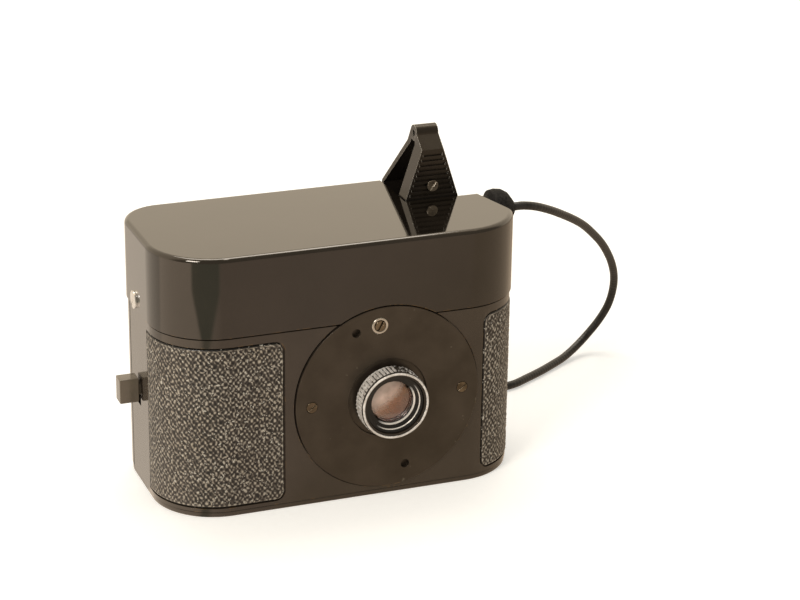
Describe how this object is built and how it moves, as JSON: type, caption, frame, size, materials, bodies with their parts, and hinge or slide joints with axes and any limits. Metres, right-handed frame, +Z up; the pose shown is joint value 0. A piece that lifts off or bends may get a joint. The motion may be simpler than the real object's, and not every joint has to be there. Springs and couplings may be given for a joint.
{
  "type": "spring-motor spy camera",
  "caption": "Small spring-wound metal camera with a round lens plate, leatherette panels, a ribbed release lever on its shoulder and a coiled remote release cable.",
  "frame": {"origin": "middle of the case's underside, half-way between its front and back faces", "axes": "+Z up, +X to the camera's right as seen from the front, the lens looks along -Y"},
  "size_m": [0.1265, 0.0858, 0.0695],
  "materials": {
    "black_enamel": "gloss",
    "leatherette": "pebbled, matte",
    "black_anodised": "satin black",
    "nickel": "polished nickel",
    "worn_brass": "worn black over brass",
    "movement_brass": "brushed",
    "spring_steel": "blued",
    "coated_glass": "coated",
    "flock_black": "matt black",
    "film_base": "gloss",
    "lever_black": "semi-gloss black",
    "cable_black": "satin",
    "boot_rubber": "matt grey"
  },
  "bodies": {
    "case": {"body_shell": "black_enamel", "base_plate": "black_enamel", "top_cover": "black_enamel", "cover_screws": "nickel", "left_leatherette": "leatherette", "right_leatherette": "leatherette", "lens_plate": "black_anodised", "plate_screws": "nickel", "spindle_collar": "nickel", "lens_tube": "black_anodised", "front_glass": "coated_glass", "middle_glass": "coated_glass", "rear_glass": "coated_glass", "rear_cell": "black_anodised", "cell_plate": "spring_steel", "light_box": "flock_black", "film_gate": "nickel", "film": "film_base", "supply_can": "black_anodised", "key_cup": "black_enamel", "movement_plate": "movement_brass", "movement_bridge": "movement_brass", "pillars": "movement_brass", "lever_bracket": "lever_black", "lever_pin": "nickel", "cable_gland": "boot_rubber", "cable": "cable_black", "cable_coil": "cable_black", "cable_tie": "cable_black", "plunger_barrel": "nickel"},
    "spindle": {"setting_spindle": "nickel"},
    "ring": {"front_ring": "worn_brass"},
    "stops": {"stop_disc": "spring_steel"},
    "shutter": {"shutter_disc": "spring_steel"},
    "supply": {"supply_spool": "flock_black"},
    "motor": {"spring_barrel": "movement_brass", "mainspring": "spring_steel", "take_up_spool": "flock_black"},
    "key": {"winding_arbor": "nickel"},
    "key_bow": {"key_bow": "nickel"},
    "centre": {"centre_wheel": "movement_brass"},
    "governor": {"governor": "movement_brass"},
    "lever": {"release_lever": "lever_black", "pad_screw": "nickel"},
    "pin": {"release_pin": "nickel"},
    "catch": {"side_catch": "lever_black"},
    "back": {"back_cover": "black_enamel", "back_leatherette": "leatherette", "pressure_plate": "flock_black", "pressure_springs": "spring_steel"},
    "button": {"plunger_button": "nickel"}
  },
  "joints": [
    {"name": "ring_turn", "type": "hinge", "parent": "case", "child": "ring", "pos_m": [0.0074, -0.021, 0.0215], "axis": [0, 1, 0], "range_deg": [0, 180]},
    {"name": "stops_turn", "type": "hinge", "parent": "case", "child": "stops", "pos_m": [0.00679, -0.0146, 0.02677], "axis": [0, 1, 0], "range_deg": [0, 270]},
    {"name": "spindle_turn", "type": "hinge", "parent": "case", "child": "spindle", "pos_m": [0.00558, -0.017, 0.03719], "axis": [0, 1, 0], "range_deg": [-1135, 0]},
    {"name": "motor_spin", "type": "hinge", "parent": "case", "child": "motor", "pos_m": [-0.024, -0.0005, 0.04], "axis": [0, 0, 1], "continuous": true},
    {"name": "centre_spin", "type": "hinge", "parent": "case", "child": "centre", "pos_m": [-0.0089, -0.0005, 0.04], "axis": [0, 0, 1], "continuous": true},
    {"name": "governor_spin", "type": "hinge", "parent": "case", "child": "governor", "pos_m": [0.0042, -0.0005, 0.04], "axis": [0, 0, 1], "continuous": true},
    {"name": "shutter_spin", "type": "hinge", "parent": "case", "child": "shutter", "pos_m": [0.0004, -0.009, 0.0251], "axis": [0, 1, 0], "continuous": true},
    {"name": "supply_spin", "type": "hinge", "parent": "case", "child": "supply", "pos_m": [0.0288, -0.001, 0.02], "axis": [0, 0, 1], "continuous": true},
    {"name": "key_wind", "type": "hinge", "parent": "case", "child": "key", "pos_m": [-0.024, -0.0005, 0.003], "axis": [0, 0, 1], "continuous": true},
    {"name": "key_fold", "type": "hinge", "parent": "key", "child": "key_bow", "pos_m": [-0.024, -0.0005, 0.0016], "axis": [1, 0, 0], "range_deg": [0, 90]},
    {"name": "lever_press", "type": "hinge", "parent": "case", "child": "lever", "pos_m": [0.02475, 0.0052, 0.0495], "axis": [-1, 0, 0], "range_deg": [0, 10], "stiffness_Nm_per_rad": 0.02, "springref_deg": -8.59},
    {"name": "pin_push", "type": "slide", "parent": "case", "child": "pin", "axis": [0, 0, -1], "range_m": [0, 0.00145]},
    {"name": "catch_slide", "type": "slide", "parent": "case", "child": "catch", "axis": [0, 0, -1], "range_m": [0, 0.002], "stiffness_N_per_m": 150, "springref_m": -0.0015},
    {"name": "back_pull", "type": "slide", "parent": "case", "child": "back", "axis": [0, 1, 0], "range_m": [0, 0.015]},
    {"name": "button_push", "type": "slide", "parent": "case", "child": "button", "axis": [1, 0, 0], "range_m": [0, 0.006], "stiffness_N_per_m": 100, "springref_m": -0.002}
  ],
  "couplings": [
    {"joint": "spindle_turn", "follows": "stops_turn", "ratio": -4.2},
    {"joint": "centre_spin", "follows": "motor_spin", "ratio": -4},
    {"joint": "governor_spin", "follows": "motor_spin", "ratio": 13.333},
    {"joint": "shutter_spin", "follows": "motor_spin", "ratio": 1.5},
    {"joint": "supply_spin", "follows": "motor_spin", "ratio": 1.25},
    {"joint": "pin_push", "follows": "lever_press", "m_per_rad": 0.0082}
  ]
}
